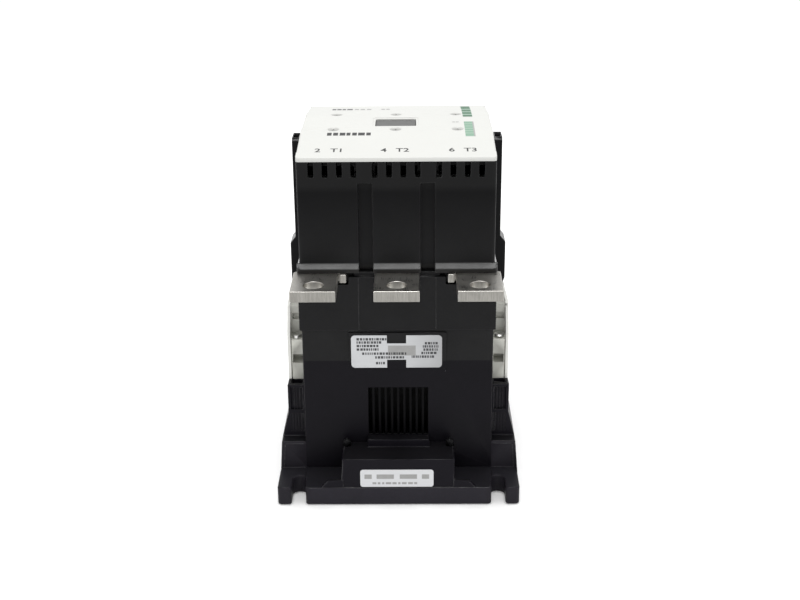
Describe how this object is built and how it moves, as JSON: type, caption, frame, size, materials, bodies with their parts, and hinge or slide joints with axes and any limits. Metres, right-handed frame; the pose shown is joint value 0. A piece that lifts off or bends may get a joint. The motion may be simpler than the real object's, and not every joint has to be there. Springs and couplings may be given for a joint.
{
  "type": "three-pole power contactor",
  "caption": "Three-pole power contactor: black base with open foot slots, arc chamber, crowned white cover, flat tinned terminal tabs and grey auxiliary contact modules at the sides.",
  "frame": {"origin": "centre of the base's underside", "axes": "+X across the base, -Y the load side, +Z away from the mounting plate"},
  "size_m": [0.1408, 0.1888, 0.206],
  "materials": {
    "black_plastic": "satin, finely eroded mould texture",
    "white_plastic": "warm white, satin",
    "grey_plastic": "mid grey, satin",
    "light_grey_plastic": "light grey, satin",
    "carrier_plastic": "glass-filled, dark brown",
    "bobbin_plastic": "glass-filled, cream",
    "label_foil": "silver foil label",
    "label_paper": "white film label",
    "tinned_copper": "tin plated, brushed",
    "copper": "bare copper",
    "contact_silver": "silver alloy",
    "sheet_steel": "laminated electrical steel",
    "spring_steel": "bright drawn wire",
    "zinc_plated_steel": "zinc plated",
    "winding": "taped copper winding",
    "rubber": "moulded"
  },
  "bodies": {
    "housing": {"base_housing": "black_plastic", "magnet_housing": "black_plastic", "contact_housing": "black_plastic", "arc_chamber": "black_plastic", "front_cover": "white_plastic", "type_plate": "label_foil", "base_label": "label_paper", "latch_pins": "black_plastic", "aux_module_left": "light_grey_plastic", "aux_module_right": "light_grey_plastic", "aux_screws_left": "zinc_plated_steel", "aux_screws_right": "zinc_plated_steel", "aux_contacts_left": "tinned_copper", "aux_contacts_right": "tinned_copper", "link_tower_left": "black_plastic", "link_tower_right": "black_plastic", "load_terminal_1": "tinned_copper", "load_terminal_2": "tinned_copper", "load_terminal_3": "tinned_copper", "line_terminal_1": "tinned_copper", "line_terminal_2": "tinned_copper", "line_terminal_3": "tinned_copper", "fixed_tips_load": "contact_silver", "fixed_tips_line": "contact_silver", "fixed_core": "sheet_steel", "core_pads": "rubber", "coil_bobbin": "bobbin_plastic", "coil_winding": "winding", "return_springs": "spring_steel", "coil_terminal_block": "light_grey_plastic", "coil_terminal_clamps": "tinned_copper", "coil_terminal_screws": "zinc_plated_steel", "quenching_plates_load": "sheet_steel", "quenching_plates_line": "sheet_steel", "terminal_screws": "zinc_plated_steel", "housing_screws": "zinc_plated_steel", "chamber_screws": "zinc_plated_steel", "cover_screws": "grey_plastic"},
    "carrier": {"contact_carrier": "carrier_plastic", "armature": "sheet_steel", "armature_pin": "zinc_plated_steel", "position_indicator": "grey_plastic", "contact_spring_1": "spring_steel", "contact_spring_2": "spring_steel", "contact_spring_3": "spring_steel"},
    "bridge_1": {"contact_bridge_1": "copper", "moving_tips_1": "contact_silver"},
    "bridge_2": {"contact_bridge_2": "copper", "moving_tips_2": "contact_silver"},
    "bridge_3": {"contact_bridge_3": "copper", "moving_tips_3": "contact_silver"},
    "link_left": {"link_rod_left": "grey_plastic", "aux_bridge_left": "copper"},
    "link_right": {"link_rod_right": "grey_plastic", "aux_bridge_right": "copper"}
  },
  "joints": [
    {"name": "carrier_slide", "type": "slide", "parent": "housing", "child": "carrier", "axis": [0, 0, -1], "range_m": [0, 0.007], "stiffness_N_per_m": 4000, "springref_m": -0.008, "deforming": ["return_springs"]},
    {"name": "bridge_1_slide", "type": "slide", "parent": "carrier", "child": "bridge_1", "axis": [0, 0, 1], "range_m": [0, 0.00205], "deforming": ["contact_spring_1"]},
    {"name": "bridge_2_slide", "type": "slide", "parent": "carrier", "child": "bridge_2", "axis": [0, 0, 1], "range_m": [0, 0.00205], "deforming": ["contact_spring_2"]},
    {"name": "bridge_3_slide", "type": "slide", "parent": "carrier", "child": "bridge_3", "axis": [0, 0, 1], "range_m": [0, 0.00205], "deforming": ["contact_spring_3"]},
    {"name": "link_left_slide", "type": "slide", "parent": "housing", "child": "link_left", "axis": [0, 0, -1], "range_m": [0, 0.00705]},
    {"name": "link_right_slide", "type": "slide", "parent": "housing", "child": "link_right", "axis": [0, 0, -1], "range_m": [0, 0.00705]}
  ],
  "couplings": [
    {"joint": "bridge_1_slide", "follows": "carrier_slide", "ratio": 0.28571},
    {"joint": "bridge_2_slide", "follows": "carrier_slide", "ratio": 0.28571},
    {"joint": "bridge_3_slide", "follows": "carrier_slide", "ratio": 0.28571},
    {"joint": "link_left_slide", "follows": "carrier_slide", "ratio": 1},
    {"joint": "link_right_slide", "follows": "carrier_slide", "ratio": 1}
  ]
}
